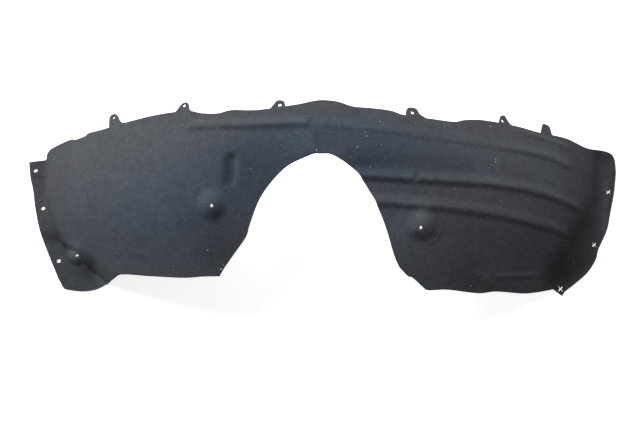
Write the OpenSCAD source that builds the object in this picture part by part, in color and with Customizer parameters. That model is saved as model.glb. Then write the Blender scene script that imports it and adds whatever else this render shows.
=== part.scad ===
// Wheel arch liner: one sheet of needle felt, pressed to an arch and stood on its end flanges.
// X runs along the car, +Y is outboard, +Z is the side that faces the car body.
// The origin is on the floor, under the middle of the part's box.

/* [Sheet] */
// Thickness of the felt
felt_t = 3.2; // [2.6:0.1:4.2]

/* [Arch] */
// Distance between the two end creases, along the outboard edge
span = 916; // [880:1:950]
// Rise of the crown above the top of the end flanges
rise = 210; // [190:1:230]
// Place of the crown along X
crown_x = -3.5; // [-8:0.5:3]
// Radius of the bend between the outboard land and the sloping side
shoulder_r = 300; // [270:5:340]
// Slope of the side below the bend, in degrees
side_slope = 28; // [25:0.5:30]
// Where the bend starts, along Y
shoulder_y = 79.5; // [70:0.5:88]
// Share of the side's slope that is lost toward the right end
right_flare = 0.55; // [0.3:0.05:0.7]
// Rounding of the crease at the left end
left_crease_r = 2.5; // [2:0.5:10]
// Rounding of the valley at the right end
right_crease_r = 16; // [10:1:24]

/* [Ribs] */
// Width of a long rib's gentle outboard side
rib_slope_w = 16; // [12:0.5:19]
// Width of a long rib's steeper inboard side
rib_drop_w = 8.5; // [7:0.5:11]
// Height of the two lower ribs
rib_h = 6; // [4:0.5:8]
// Height of the ribs along the outboard land
land_rib_h = 5; // [3:0.5:7]
// Length over which a rib runs out
rib_fade = 12; // [10:1:24]

/* [Bosses] */
// Radius of a pressed boss at its foot
boss_r = 26; // [24:0.5:29]
// Radius of the flat top of a boss
boss_top_r = 7.5; // [6.5:0.25:9]
// Height of the two side bosses
boss_h = 12; // [9:0.5:14]
// Height of the boss on the corner lobe
lobe_boss_h = 14; // [11:0.5:17]

/* [Holes] */
// Radius of the screw hole in a tab
tab_hole_r = 2.8; // [2.2:0.05:3.3]
// Radius of the clip hole in the left flange
clip_hole_r = 3.5; // [2.5:0.05:4.5]
// Radius of the hole in a boss
boss_hole_r = 2.5; // [2:0.05:3]
// Radius of the round middle of a cross slit
slit_hole_r = 1.8; // [1.4:0.05:2.4]
// Length of a cross slit from end to end
slit_l = 10.5; // [8:0.5:11.5]
// Width of a cross slit
slit_w = 1.9; // [1:0.1:2.4]

/* [Hidden] */

// The arch is a circle through both end creases and the crown.
arch_r = (span * span / 4 + rise * rise) / (2 * rise);
axis_z = felt_t + rise - arch_r;
left_x = crown_x - span / 2;
right_x = crown_x + span / 2;
bend_run = shoulder_r * sin(side_slope);
bend_drop = shoulder_r * (1 - cos(side_slope));

// Lobe at the foot of the left end: a wall rises from this line to the side of the arch.
lobe_line = [left_x + 56.5, -50];
lobe_dir = -41;
lobe_wall = 3.4;
lobe_round = 6;

// The lower right corner drops away faster, from this line inboard.
corner_y = -67;
corner_slope = 0.5;

// The ribs: first and last X of each, and its centre line's place along Y.
rib_a = [left_x + 254, crown_x - 20];
rib_b = [crown_x + 4, right_x - 52];
rib_c = [crown_x + 40, right_x - 41];
rib_d = [crown_x + 60, right_x - 66];
rib_e = [right_x - 105, right_x - 52];
land_rib_y = shoulder_y + 5.5;
edge_rib_foot = shoulder_y + 32.5;
edge_rib_half_w = 7.5;
edge_rib_h = 3;
rib_c_foot = 2;
rib_d_foot = -35.5;
notch_x = crown_x + 151;
notch_half_w = 8;

// The short groove between the left boss and the cut-out, and the ridge over the cut-out.
groove_x = crown_x - 139.5;
groove_y = [0, 34];
groove_half_w = 14;
groove_depth = 7;
ridge_x = crown_x - 10;
ridge_y = [38, 80];
ridge_h = 2.6;

// The small mark low on the right.
mark_x = [right_x - 176, right_x - 114];
mark_y = [-116, -104];
mark_h = 2.6;

// Bosses: place of each foot, and how far the flat top sits off the foot's middle.
left_boss = [crown_x - 166.5, -32];
left_lean = [3, -2];
right_boss = [crown_x + 155.5, -60.5];
right_lean = [-3, -4];
lobe_boss = [left_x + 64.5, -53];
lobe_lean = [-1, -6];
lobe_boss_r = 20;
lobe_top_r = 6;

// Tabs: the hole's place, then the plan about it, from the right foot over the tip to the left.
tabs = [
    [left_x + 124.1, 142.2, [
        [23, -15.2], [16.3, -13.5], [11.7, -7.4], [9.9, -2.6], [7.3, 2.3], [4.5, 5], [1, 6.3],
        [-1.9, 6.4], [-4.75, 5.2], [-6.5, 3], [-7.1, -1], [-7.1, -7.5], [-6.6, -15.2]]],
    [left_x + 243.5, 134.2, [
        [18.3, -14.9], [13.5, -12.5], [9.9, -8.6], [8.6, -4.5], [8.2, -0.5], [6.8, 2.3],
        [4.4, 4.3], [2, 5.2], [-0.8, 4.8], [-3.4, 3.5], [-6.5, 0.7], [-9.8, -3.9],
        [-12.3, -6.8], [-14.5, -8.3], [-22, -9.2]]],
    [crown_x - 62.5, 117.9, [
        [9.2, -3.5], [8.2, -0.2], [7.9, 2.4], [6.9, 5], [3.5, 7.1], [-0.5, 8], [-4.3, 7.3],
        [-6.5, 5.6], [-10, 0.9], [-15, -5.5]]],
    [crown_x + 144.4, 111.5, [
        [25.5, -8.1], [21, -6.9], [16.3, -4.2], [12.3, -1.9], [10, 0.8], [8.3, 4.2],
        [6.2, 6.8], [3.5, 8.3], [-1.9, 8.6], [-6, 8], [-8.4, 6], [-10.1, 2.5],
        [-10.8, -1.7], [-11.4, -5], [-14, -8]]],
    [right_x - 166.2, 124.5, [
        [21, -4.6], [15.2, -3.5], [12.2, -1.9], [9.1, 2.1], [6.3, 6.2], [4.6, 9.2],
        [2.7, 10.4], [-0.5, 9.4], [-3.6, 7.3], [-5.2, 4], [-6.3, 0.4], [-7.4, -4.9],
        [-7.7, -8]]]];
blank_tab = [right_x - 89.5, 124.5, [
    [14, -1], [10.4, 2], [9.2, 4.5], [8.4, 8.2], [7.4, 11.8], [6.4, 14.7], [4.4, 16.4],
    [1.5, 17.1], [-2, 17.2], [-4.5, 16.9], [-6.5, 15.6], [-7.6, 13.6], [-8.5, 10.4],
    [-9.3, 6.6], [-10.3, 2.8], [-11, -3]]];
clip_holes = [[left_x - 16.5, 97], [left_x + 0.5, 29], [left_x + 32, -63.5]];
slits = [[right_x + 20.5, 58.5], [right_x - 9.5, -36], [right_x - 69, -112.5]];

// Height of the sheet's outer face.
function clamp01(t) = max(0, min(1, t));
function ease(a, b, v) = let (t = clamp01((v - a) / (b - a))) t * t * (3 - 2 * t);
function mound(t) = abs(t) >= 1 ? 0 : (1 + cos(180 * t)) / 2;
function over(a, b, k) = max(a, b) + pow(max(k - abs(a - b), 0), 2) / (4 * k);
function under(a, b, k) = -over(-a, -b, k);
function between(v, ends, fade) =
    ease(ends[0] - fade, ends[0], v) * (1 - ease(ends[1], ends[1] + fade, v));

function bend(d) = d < bend_run
    ? shoulder_r - sqrt(shoulder_r * shoulder_r - d * d)
    : bend_drop + (d - bend_run) * tan(side_slope);
function far_right(x) = ease(span / 4, span / 2, x - crown_x);
function radius_at(x, y) = arch_r
    - bend(max(shoulder_y - y, 0)) * (1 - right_flare * far_right(x))
    - corner_slope * far_right(x) * max(corner_y - y, 0);
function arch(x, y) = axis_z + sqrt(max(pow(radius_at(x, y), 2) - pow(x - crown_x, 2), 1));
function crease(x, y) = sqrt(pow(radius_at(x, y), 2) - pow(felt_t - axis_z, 2));

function left_rise(x) = 9 * (1 - ease(rib_a[0], rib_a[0] + 110, x));
function land_rib(x) = land_rib_y + left_rise(x)
    - 11.5 * mound((x - crown_x - 185) / 260) - 6 * ease(360, 430, x - crown_x);
function rib_c_y(x) = rib_c_foot
    + 14.5 * ease(120, 360, x - crown_x) - 3 * ease(370, 430, x - crown_x);
function rib_d_y(x) = rib_d_foot + 3.5 * mound((x - crown_x - 280) / 200);
function edge_rib_y(x) = edge_rib_foot + left_rise(x) + 3 * ease(right_x - 170, right_x - 50, x);

// Across a rib: a gentle outboard side and a steeper inboard one.
function rib(v, slope, drop) =
    v > 0 ? 0.5 * (max(1 - v / slope, 0) + mound(v / slope)) : mound(v / drop);

function ribs(x, y) =
    land_rib_h * rib(y - land_rib(x), rib_slope_w, rib_drop_w)
        * (between(x, rib_a, rib_fade / 2) * (0.65 + 0.35 * ease(rib_a[0], rib_a[0] + 120, x))
            + between(x, rib_b, rib_fade / 2) * (0.45 + 0.55 * ease(250, 350, x - crown_x)))
    + rib_h * rib(y - rib_c_y(x), rib_slope_w, rib_drop_w) * between(x, rib_c, rib_fade)
        * (1 - 0.7 * mound((x - 0.35 * (y - 12) - notch_x) / notch_half_w))
    + 0.85 * rib_h * rib(y - rib_d_y(x), rib_slope_w, rib_drop_w)
        * between(x, rib_d, rib_fade)
    + edge_rib_h * rib(y - edge_rib_y(x), edge_rib_half_w, edge_rib_half_w)
        * ease(rib_e[0] - 65, rib_e[0], x) * (1 - ease(rib_e[1], rib_e[1] + 12, x));

function mark_line(x) = mark_y[0]
    + (mark_y[1] - mark_y[0]) * clamp01((x - mark_x[0]) / (mark_x[1] - mark_x[0]));
function marks(x, y) =
    ridge_h * between(y, ridge_y, 14) * (x < ridge_x
        ? ease(ridge_x - 42, ridge_x, x)
        : 1 - ease(ridge_x, ridge_x + 12, x))
    - groove_depth * mound((x - groove_x - 0.08 * y) / groove_half_w) * between(y, groove_y, 12)
    + mark_h * mound((y - mark_line(x)) / 7) * between(x, mark_x, 8);

function lobe_rise(x, y) = felt_t + lobe_wall
    * ((x - lobe_line[0]) * -sin(lobe_dir) + (y - lobe_line[1]) * cos(lobe_dir));
function sheet(x, y) =
    let (panel = arch(x, y) + ribs(x, y) + marks(x, y))
    x < crown_x
        ? over(under(panel, lobe_rise(x, y), lobe_round), felt_t, left_crease_r)
        : over(panel, felt_t, right_crease_r);

// The inner face lies one thickness below, measured square to the sheet.
function steepness(x, y) = norm([
    1, (sheet(x + 1, y) - sheet(x - 1, y)) / 2, (sheet(x, y + 1) - sheet(x, y - 1)) / 2]);
function inner(x, y) = max(sheet(x, y) - felt_t * min(steepness(x, y), 1.8), 0);

// The pressed blank is a net of columns that follow the creases and rows that follow the ribs.
col_spans = [
    [-1.12, -1.045, 1], [-1.045, -1, 3], [-1, -0.96, 3], [-0.96, -0.7, 11], [-0.7, -0.36, 9],
    [-0.36, -0.26, 7], [-0.26, 0.3, 16], [0.3, 0.38, 6], [0.38, 0.9, 15], [0.9, 1.05, 6],
    [1.05, 1.12, 1]];
cols = concat(
    [for (s = col_spans) for (i = [0:s[2] - 1]) s[0] + (s[1] - s[0]) * i / s[2]],
    [col_spans[len(col_spans) - 1][1]]);
rib_rows = [rib_slope_w, rib_slope_w / 2, 0, -rib_drop_w / 2, -rib_drop_w];
function rows(x) = concat(
    [for (v = [160, 140]) v],
    [for (k = [1, 0, -1]) edge_rib_y(x) + k * edge_rib_half_w],
    [for (k = rib_rows) land_rib(x) + k],
    [for (t = [0.25, 0.5, 0.75])
        (land_rib(x) - rib_drop_w) * (1 - t) + (rib_c_y(x) + rib_slope_w) * t],
    [for (k = rib_rows) rib_c_y(x) + k],
    [(rib_c_y(x) + rib_d_y(x)) / 2],
    [for (k = rib_rows) rib_d_y(x) + k],
    [for (t = [1:7]) (rib_d_y(x) - rib_drop_w) * (1 - t / 7) - 152 * t / 7]);
row_count = len(rows(0));
function at(u, k) =
    let (x = crown_x + u * span / 2, y = rows(x)[k]) [crown_x + u * crease(x, y), y];
net = [for (u = cols) for (k = [0:row_count - 1]) at(u, k)];
net_points = concat(
    [for (p = net) [p[0], p[1], sheet(p[0], p[1])]],
    [for (p = net) [p[0], p[1], inner(p[0], p[1])]]);
function id(i, k, face) = face * len(net) + i * row_count + k;
last_col = len(cols) - 1;
last_row = row_count - 1;
net_faces = concat(
    [for (i = [0:last_col - 1]) for (k = [0:last_row - 1])
        each [[id(i, k, 0), id(i + 1, k + 1, 0), id(i, k + 1, 0)],
            [id(i, k, 0), id(i + 1, k, 0), id(i + 1, k + 1, 0)]]],
    [for (i = [0:last_col - 1]) for (k = [0:last_row - 1])
        each [[id(i, k, 1), id(i, k + 1, 1), id(i + 1, k + 1, 1)],
            [id(i, k, 1), id(i + 1, k + 1, 1), id(i + 1, k, 1)]]],
    [for (i = [0:last_col - 1]) each [
        [id(i, 0, 0), id(i + 1, 0, 1), id(i + 1, 0, 0)],
        [id(i, 0, 0), id(i, 0, 1), id(i + 1, 0, 1)],
        [id(i, last_row, 0), id(i + 1, last_row, 0), id(i + 1, last_row, 1)],
        [id(i, last_row, 0), id(i + 1, last_row, 1), id(i, last_row, 1)]]],
    [for (k = [0:last_row - 1]) each [
        [id(0, k, 0), id(0, k + 1, 0), id(0, k + 1, 1)],
        [id(0, k, 0), id(0, k + 1, 1), id(0, k, 1)],
        [id(last_col, k, 0), id(last_col, k + 1, 1), id(last_col, k + 1, 0)],
        [id(last_col, k, 0), id(last_col, k, 1), id(last_col, k + 1, 1)]]]);

// The cut edge: smooth runs through a few points each, with a sharp corner between runs.
function on_curve(a, b, c, d, t) = 0.5 * (2 * b + (c - a) * t
    + (2 * a - 5 * b + 4 * c - d) * t * t + (3 * b - a - 3 * c + d) * t * t * t);
function run(p, steps = 3) = let (n = len(p) - 1) concat(
    [for (i = [0:n - 1]) for (s = [0:steps - 1])
        on_curve(p[max(i - 1, 0)], p[i], p[i + 1], p[min(i + 2, n)], s / steps)],
    [p[n]]);

outboard_edge = [
    [left_x + 1, 126], [left_x + 7, 131.5], [left_x + 26, 132], [left_x + 48, 131],
    [left_x + 56, 127], [left_x + 73, 126.5], [left_x + 82, 129.5], [left_x + 112, 127],
    [left_x + 204, 127], [left_x + 252, 123], [left_x + 272, 116], [left_x + 298, 112],
    [left_x + 320, 115], [crown_x - 96, 111.5], [crown_x - 40, 117], [crown_x - 8, 123.5],
    [crown_x + 8, 124.5], [crown_x + 28, 122], [crown_x + 51, 114.5], [crown_x + 78, 113.5],
    [crown_x + 109, 111.5], [crown_x + 131, 106], [crown_x + 164, 104.5],
    [crown_x + 208, 105], [crown_x + 226, 111], [crown_x + 242, 115], [right_x - 195, 118],
    [right_x - 140, 121.5], [right_x - 102, 123], [right_x - 53, 130.5],
    [right_x - 20, 130.5], [right_x + 9, 134], [right_x + 30, 127], [right_x + 35.5, 113]];
right_edge = [
    [right_x + 35.5, 93], [right_x + 30, 57.5], [right_x + 21, 19.5], [right_x + 14.5, -7],
    [right_x + 4, -30], [right_x - 3, -44], [right_x - 8.5, -62], [right_x - 23.5, -84],
    [right_x - 45, -103], [right_x - 61, -115.5]];
right_tip = [[right_x - 66.5, -123.5], [right_x - 71.5, -119.5], [right_x - 81, -114]];
right_foot = [
    [right_x - 108, -123], [right_x - 135, -130], [right_x - 180, -135.5],
    [right_x - 210, -142.5], [right_x - 260, -144.5], [crown_x + 168, -148.6],
    [crown_x + 158, -144], [crown_x + 143.5, -134], [crown_x + 136, -132.5]];
cut_out = [
    [crown_x + 122.5, -121], [crown_x + 114, -104.5], [crown_x + 98.5, -61.5],
    [crown_x + 77, -20.5], [crown_x + 51, 13], [crown_x + 21, 33.5], [crown_x + 4, 36],
    [crown_x - 16, 33], [crown_x - 53.5, 15], [crown_x - 89, -23.5], [crown_x - 107.2, -62],
    [crown_x - 113.8, -80], [crown_x - 132.5, -102], [crown_x - 148, -120],
    [crown_x - 155.5, -130.5]];
left_foot = [
    [crown_x - 185, -128], [crown_x - 215, -126], [crown_x - 267, -116],
    [left_x + 157, -107.5], [left_x + 145, -102], [left_x + 133, -98],
    [left_x + 126, -98.5]];
lobe_edge = [
    [left_x + 119, -101], [left_x + 107, -109], [left_x + 90, -115],
    [left_x + 71, -115.5], [left_x + 47, -112], [left_x + 41, -108]];
left_edge = [
    [left_x + 33, -93.5], [left_x + 13.5, -50], [left_x - 2.5, -10], [left_x - 12.5, 29],
    [left_x - 18, 60], [left_x - 24, 83], [left_x - 28.5, 112]];

module trim() {
    polygon(concat(
        run(outboard_edge), run(right_edge), right_tip, run(right_foot), run(cut_out),
        run(left_foot), run(lobe_edge), run(left_edge), [[left_x, 116]]));
    for (t = tabs) tab(t);
    tab(blank_tab);
}

// A tab's plan runs on a little way inboard of its feet, into the sheet.
module tab(t) {
    first = t[2][0];
    last = t[2][len(t[2]) - 1];
    translate([t[0], t[1]])
        polygon(concat([first - [0, 8]], t[2], [last - [0, 8]]));
}

// Stands its children on the sheet, square to it.
module on_sheet(p) {
    slope_x = (arch(p[0] + 1, p[1]) - arch(p[0] - 1, p[1])) / 2;
    slope_y = (arch(p[0], p[1] + 1) - arch(p[0], p[1] - 1)) / 2;
    n = [-slope_x, -slope_y, 1] / norm([slope_x, slope_y, 1]);
    translate([p[0], p[1], arch(p[0], p[1])])
        rotate([asin(-n[1]), atan2(n[0], n[2]), 0]) children();
}

module pressed_sheet() {
    polyhedron(net_points, net_faces, convexity = 8);
}

// A boss is a cone whose flat top sits to one side of its foot.
module leaning_cone(foot_r, top_r, low, high, lean) {
    skin = 0.1;
    hull() {
        translate([0, 0, low]) cylinder(r = foot_r, h = skin, $fn = 32);
        translate([lean[0], lean[1], high - skin]) cylinder(r = top_r, h = skin, $fn = 32);
    }
}

module boss(h, lean, foot_r = boss_r, top_r = boss_top_r) {
    sink = felt_t / 2;
    leaning_cone(foot_r, top_r, -sink, h, lean);
}

// The hollow behind a boss leaves a wall of one thickness.
module boss_cut(h, lean, foot_r = boss_r, top_r = boss_top_r) {
    depth = felt_t * 1.6;
    grow = (foot_r - top_r) / h;
    wall = felt_t * sqrt(1 + pow(grow, 2)) - felt_t * grow;
    low_r = foot_r + grow * (depth - felt_t) - wall;
    leaning_cone(low_r, max(top_r - wall, boss_hole_r + 0.5), -depth, h - felt_t, lean);
    translate([lean[0], lean[1], 0]) hole(boss_hole_r);
}

module hole(r, h = 60) {
    cylinder(r = r, h = h, center = true, $fn = 32);
}

module cross_slit() {
    hole(slit_hole_r);
    for (a = [45, 135]) rotate(a) cube([slit_l, slit_w, 60], center = true);
}

module liner() color([0.13, 0.14, 0.17]) {
    difference() {
        union() {
            intersection() {
                pressed_sheet();
                translate([0, 0, -20]) linear_extrude(rise + 80) trim();
            }
            on_sheet(left_boss) boss(boss_h, left_lean);
            on_sheet(right_boss) boss(boss_h, right_lean);
            translate([lobe_boss[0], lobe_boss[1], felt_t])
                boss(lobe_boss_h, lobe_lean, lobe_boss_r, lobe_top_r);
        }
        on_sheet(left_boss) boss_cut(boss_h, left_lean);
        on_sheet(right_boss) boss_cut(boss_h, right_lean);
        translate([lobe_boss[0], lobe_boss[1], felt_t])
            boss_cut(lobe_boss_h, lobe_lean, lobe_boss_r, lobe_top_r);
        for (t = tabs) on_sheet(t) hole(tab_hole_r);
        for (p = clip_holes) translate([p[0], p[1], felt_t]) hole(clip_hole_r);
        for (p = slits) translate([p[0], p[1], felt_t]) cross_slit();
    }
}

liner();
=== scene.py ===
"""The look of a pressed felt wheel arch liner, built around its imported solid.

The felt is made the way the real one is: a flat blank is pressed to the arch, given its
thickness, cut to its outline by a die, and punched.
"""

import math
import random

import bpy
import numpy as np
from bpy.props import FloatProperty, FloatVectorProperty, IntProperty, PointerProperty
from mathutils import Matrix, Vector, noise


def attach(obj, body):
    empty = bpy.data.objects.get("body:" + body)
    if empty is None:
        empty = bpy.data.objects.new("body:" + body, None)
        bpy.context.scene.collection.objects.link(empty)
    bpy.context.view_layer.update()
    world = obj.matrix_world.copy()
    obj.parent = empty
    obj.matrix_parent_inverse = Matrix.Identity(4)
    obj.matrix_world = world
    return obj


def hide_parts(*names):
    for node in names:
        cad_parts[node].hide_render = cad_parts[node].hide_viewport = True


bl_info = {
    "name": "Wheel Arch Liner",
    "version": (1, 0, 0),
    "blender": (4, 5, 0),
    "location": "View3D > Sidebar > Liner",
    "description": "Presses, cuts and lights a felt wheel arch liner",
    "category": "Object",
}

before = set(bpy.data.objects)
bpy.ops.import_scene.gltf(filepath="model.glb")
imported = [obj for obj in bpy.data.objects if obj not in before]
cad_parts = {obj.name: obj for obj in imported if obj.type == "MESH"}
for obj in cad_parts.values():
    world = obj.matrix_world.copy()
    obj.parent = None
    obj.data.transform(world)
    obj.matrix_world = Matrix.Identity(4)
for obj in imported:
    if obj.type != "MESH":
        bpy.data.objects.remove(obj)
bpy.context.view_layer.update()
MM = 0.001
UP = Vector((0, 0, 1))
# How far below and above the floor the die's cut runs, in millimetres.
DIE_LOW, DIE_HIGH = -30, 300
# The blank before it is cut: its length as a share of the span, and its half width.
BLANK_SHARE = 1.12
BLANK_HALF_W = 154.0
# The felt's slow waves: share of their height, length along X and along Y, and seed.
WAVES = ((1.0, 75, 60, 3), (0.4, 28, 25, 9))
# Turns, in degrees, of the three layers of fibres.
FIBRE_TURNS = (12, 71, 128)
# The strewn lint: its seed, where along X and Y it may fall, and its sizes, in millimetres.
LINT_SEED = 31
LINT_X = (-430, 430)
LINT_Y = (-95, 108)
LINT_SIZE = (0.22, 0.42)
WHITE = (1, 1, 1, 1)
# The floor's width, and its place just under the felt, in metres.
FLOOR_SIZE = 12
FLOOR_Z = -0.0012
# Y and Z of what the camera looks at, in millimetres.
AIM = (19.5, 3.0)
# Each lamp's name, width, power setting and place, and the place it is aimed at, in metres.
LAMPS = (
    ("key", 1.0, "key_power", (-0.9, 0.7, 1.7), (0, 0, 0.1)),
    ("low", 0.5, "low_power", (-1.9, 1.5, 0.5), (0, 0, 0.1)),
    ("side", 0.40, "side_power", (0.45, 0.30, 0.60), (0.25, 0.0, 0.12)),
)

# Place in whole millimetres and size in tenths of a millimetre of the tufts that stand out.
LINT = (
    (-177, -94, 10), (-232, -114, 6), (-149, 47, 6), (-188, 102, 5), (-209, 117, 6),
    (16, 112, 6), (25, 82, 5), (66, 72, 6), (68, 65, 8), (54, 47, 6), (91, 52, 6),
    (90, 91, 7), (113, 19, 6), (44, 30, 7), (205, -4, 6), (242, 4, 6), (174, -79, 5),
    (273, 55, 7), (273, 50, 8), (267, 109, 8), (262, -4, 5), (280, -9, 6), (374, 16, 5),
    (367, 71, 6), (251, -26, 5), (407, -72, 6), (233, -135, 7), (-156, -122, 14),
    (-152, -117, 8), (-9, 40, 12), (-3, 38, 9))

# Painted shade along creases, from point to point: the points, then each stretch's depth and
# half width.
CREASE_SHADE = (
    (((462, 128), (453, 84), (448, 46), (432, 8), (404, -41), (366, -98)),
     (0.10, 0.20, 0.26, 0.28, 0.28), (12, 9, 9, 13, 15)),
    (((-450, 40), (-446, 14), (-432, -21), (-421, -36)),
     (0.16, 0.16, 0.16), (5, 5, 5)),
)

# Soft spots of painted highlight, lighter above 0, and painted shade, darker below: strength,
# place and half sizes.
LIGHT_AND_SHADE_SPOTS = (
    # The valley at the right end and the low side beside it.
    (-0.18, (470, 122), (20, 13)), (-0.32, (350, -42), (36, 26)),
    (-0.18, (358, 8), (45, 18)), (0.17, (385, 112), (55, 24)),
    (0.12, (428, 122), (20, 16)), (-0.13, (382, -16), (34, 20)),
    # The right side below its ribs.
    (-0.19, (290, -65), (75, 35)), (-0.18, (234, -113), (60, 26)),
    (-0.16, (262, -134), (80, 13)),
    # The right boss and the felt round it.
    (0.26, (108, -58), (26, 34)), (0.26, (142, -68), (42, 32)), (0.20, (136, -78), (34, 22)),
    (0.32, (148, -79), (17, 9)), (0.26, (153, -47), (6, 10)), (-0.20, (173, -72), (13, 10)),
    # The crown and the rim of the cut-out.
    (-0.14, (95, 50), (85, 35)), (-0.15, (61, 23), (30, 22)), (0.08, (-29, 62), (9, 17)),
    (-0.24, (-88, 20), (48, 55)), (-0.12, (-140, 22), (34, 34)),
    # The left side, its boss and its foot.
    (-0.07, (-175, -30), (62, 48)), (0.10, (-256, 1), (60, 85)),
    (-0.24, (-164, -103), (38, 28)), (-0.10, (-422, 62), (24, 50)),
    # The left flange and the corner lobe.
    (0.22, (-464, 18), (12, 26)), (-0.12, (-438, -24), (12, 9)),
    (-0.13, (-408, -17), (42, 32)), (-0.08, (-395, -95), (35, 18)),
    (-0.30, (-379, -76), (15, 13)), (0.34, (-402, -45), (11, 8)),
    (0.46, (-394, -68), (10, 7)),
)

# Soft straight strokes of painted highlight and painted shade: strength, start, end and half
# width.
LIGHT_AND_SHADE_STROKES = (
    # Painted highlights on the right flange's rim and on the pressed mark low on the right.
    (0.16, (472, 72), (464, -12), 5),
    (0.26, (244, -114), (256, -117), 4),
    (0.20, (270, -99), (258, -116), 3),
    (0.12, (278, -124), (338, -111), 4),
    # A painted highlight on the rim of the right boss's top, and painted shade below the land
    # beside the crown.
    (0.36, (144, -34), (164, -34), 5),
    (-0.17, (45, 21), (225, 35), 16),
    # The short groove beside the left boss: painted shade on its floor and a painted highlight
    # on its far wall.
    (-0.12, (-147, 43), (-146, -10), 6),
    (0.16, (-134, 35), (-132, 2), 5),
    # Painted shade along creases across the left flange, and painted highlights on the edges of
    # the lobe.
    (-0.24, (-490, 86), (-455, 84), 1.8),
    (-0.18, (-470, -17), (-436, -22), 7),
    (0.22, (-413, -42), (-396, -52), 5),
    (0.52, (-360, -88), (-336, -108), 11),
)

# Painted bluish light round the crown and the side bosses: strength, place and half sizes.
BLUE_LIGHT_SPOTS = (
    (1.15, (20, 45), (190, 50)),
    (0.8, (-215, -30), (180, 70)),
    (0.65, (118, -55), (36, 55)),
)


class LinerSizes(bpy.types.PropertyGroup):
    """Sizes of the pressed sheet."""

    felt_t: FloatProperty(
        name="Felt", description="Thickness of the felt", default=0.0032, unit="LENGTH")
    span: FloatProperty(
        name="Span", description="Distance between the end creases along the outboard edge",
        default=0.916, unit="LENGTH")
    rise: FloatProperty(
        name="Rise", description="Rise of the crown above the top of the end flanges",
        default=0.210, unit="LENGTH")
    crown_x: FloatProperty(
        name="Crown", description="Place of the crown along X", default=-0.0035, unit="LENGTH")
    shoulder_r: FloatProperty(
        name="Shoulder Radius", description="Radius of the bend below the outboard land",
        default=0.300, unit="LENGTH")
    side_slope: FloatProperty(
        name="Side Slope", description="Slope of the side below the bend",
        default=math.radians(28), subtype="ANGLE")
    shoulder_y: FloatProperty(
        name="Shoulder", description="Where the bend starts, along Y",
        default=0.0795, unit="LENGTH")
    right_flare: FloatProperty(
        name="Right Flare", description="Share of the side's slope lost toward the right end",
        default=0.55, min=0, max=1)
    left_crease_r: FloatProperty(
        name="Left Crease", description="Rounding of the crease at the left end",
        default=0.0025, unit="LENGTH")
    right_crease_r: FloatProperty(
        name="Right Crease", description="Rounding of the valley at the right end",
        default=0.016, unit="LENGTH")
    rib_half_w: FloatProperty(
        name="Rib Slope", description="Width of a long rib's gentle outboard side",
        default=0.016, unit="LENGTH")
    rib_drop_w: FloatProperty(
        name="Rib Drop", description="Width of a long rib's steeper inboard side",
        default=0.0085, unit="LENGTH")
    rib_h: FloatProperty(
        name="Rib Height", description="Height of the two lower ribs",
        default=0.006, unit="LENGTH")
    land_rib_h: FloatProperty(
        name="Land Rib Height", description="Height of the ribs along the outboard land",
        default=0.005, unit="LENGTH")
    rib_fade: FloatProperty(
        name="Rib Fade", description="Length over which a rib runs out",
        default=0.012, unit="LENGTH")
    boss_r: FloatProperty(
        name="Boss Foot", description="Radius of a pressed boss at its foot",
        default=0.026, unit="LENGTH")
    boss_top_r: FloatProperty(
        name="Boss Top", description="Radius of the flat top of a boss",
        default=0.0075, unit="LENGTH")
    boss_h: FloatProperty(
        name="Boss Height", description="Height of the two side bosses",
        default=0.012, unit="LENGTH")
    lobe_boss_h: FloatProperty(
        name="Lobe Boss Height", description="Height of the boss on the corner lobe",
        default=0.014, unit="LENGTH")
    tab_hole_r: FloatProperty(
        name="Tab Hole", description="Radius of the screw hole in a tab",
        default=0.0028, unit="LENGTH")
    clip_hole_r: FloatProperty(
        name="Clip Hole", description="Radius of the clip hole in the left flange",
        default=0.0035, unit="LENGTH")
    boss_hole_r: FloatProperty(
        name="Boss Hole", description="Radius of the hole in a boss",
        default=0.0025, unit="LENGTH")
    slit_hole_r: FloatProperty(
        name="Slit Middle", description="Radius of the round middle of a cross slit",
        default=0.0018, unit="LENGTH")
    slit_l: FloatProperty(
        name="Slit Length", description="Length of a cross slit from end to end",
        default=0.0105, unit="LENGTH")
    slit_w: FloatProperty(
        name="Slit Width", description="Width of a cross slit", default=0.0019, unit="LENGTH")
    net_pitch: FloatProperty(
        name="Net Pitch", description="Spacing of the sheet's mesh",
        default=0.0023, unit="LENGTH")


class FeltLook(bpy.types.PropertyGroup):
    """Colours and surface of the felt."""

    body_color: FloatVectorProperty(
        name="Felt Colour", description="Colour of the pressed felt",
        subtype="COLOR", size=3, default=(0.072, 0.076, 0.081), min=0, max=1)
    # Colour of the painted bluish light round the crown.
    blue_light_tint: FloatVectorProperty(
        name="Blue Tint", description="Tint of the bluer felt round the crown",
        subtype="COLOR", size=3, default=(0.80, 0.96, 1.22), min=0, max=2)
    shade_color: FloatVectorProperty(
        name="Deep Fibre Colour", description="Colour between the fibres",
        subtype="COLOR", size=3, default=(0.030, 0.033, 0.040), min=0, max=1)
    fibre_color: FloatVectorProperty(
        name="Fibre Colour", description="Colour of the fibres that lie on top",
        subtype="COLOR", size=3, default=(0.120, 0.126, 0.138), min=0, max=1)
    lint_color: FloatVectorProperty(
        name="Lint Colour", description="Colour of the white lint",
        subtype="COLOR", size=3, default=(0.62, 0.63, 0.64), min=0, max=1)
    fibre_size: FloatProperty(
        name="Fibre Size", description="Width of a fibre bundle",
        default=0.0005, unit="LENGTH")
    wave_h: FloatProperty(
        name="Waviness", description="Height of the sheet's slow waves",
        default=0.0007, unit="LENGTH")
    sheen: FloatProperty(
        name="Sheen", description="Strength of the fuzz", default=0.04, min=0, max=1)


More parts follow.
